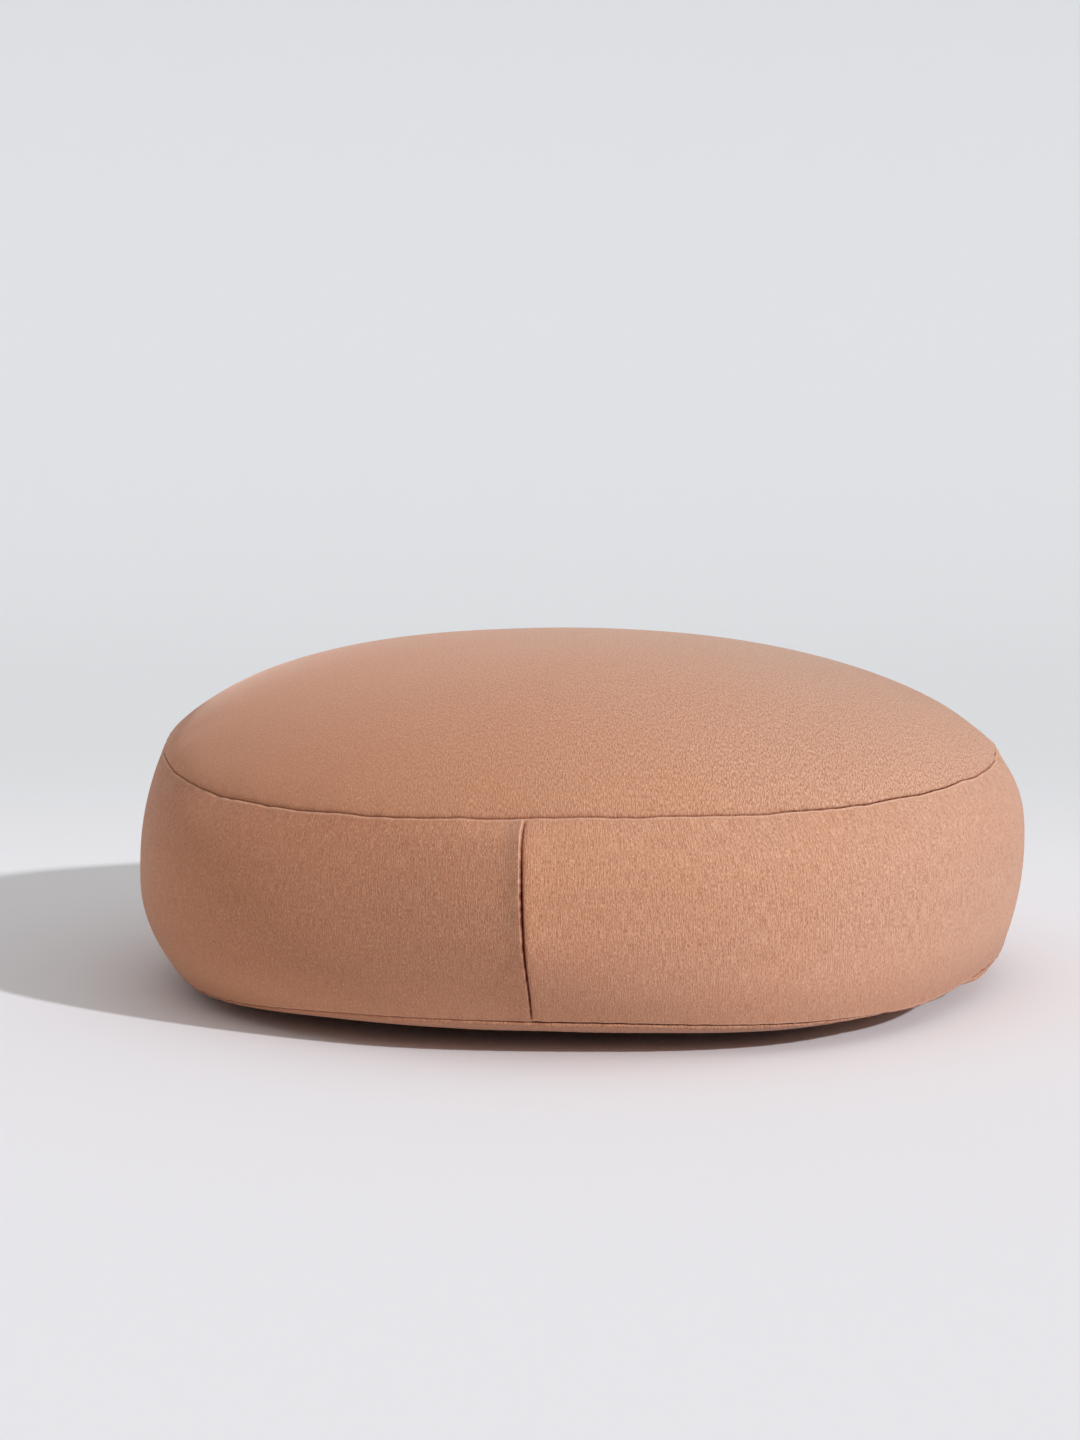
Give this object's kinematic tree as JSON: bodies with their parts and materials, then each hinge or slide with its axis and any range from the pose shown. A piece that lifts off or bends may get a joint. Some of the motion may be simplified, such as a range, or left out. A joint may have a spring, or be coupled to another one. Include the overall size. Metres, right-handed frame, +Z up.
{
  "type": "round floor cushion",
  "caption": "Round, plump floor cushion with a crowned top panel, a bulging side band and drawn-in seams, in plain woven cloth.",
  "frame": {"origin": "on the floor, under the middle of the cushion's widest outline", "axes": "+Z up through the crown, -Y towards the front where the band's lapped join is, +X to the right seen from the front"},
  "size_m": [0.3962, 0.401, 0.1522],
  "materials": {
    "cloth": "matt plain-woven cloth with a fine uneven thread, terracotta pink"
  },
  "bodies": {
    "root": {"cushion": "cloth"}
  },
  "joints": []
}
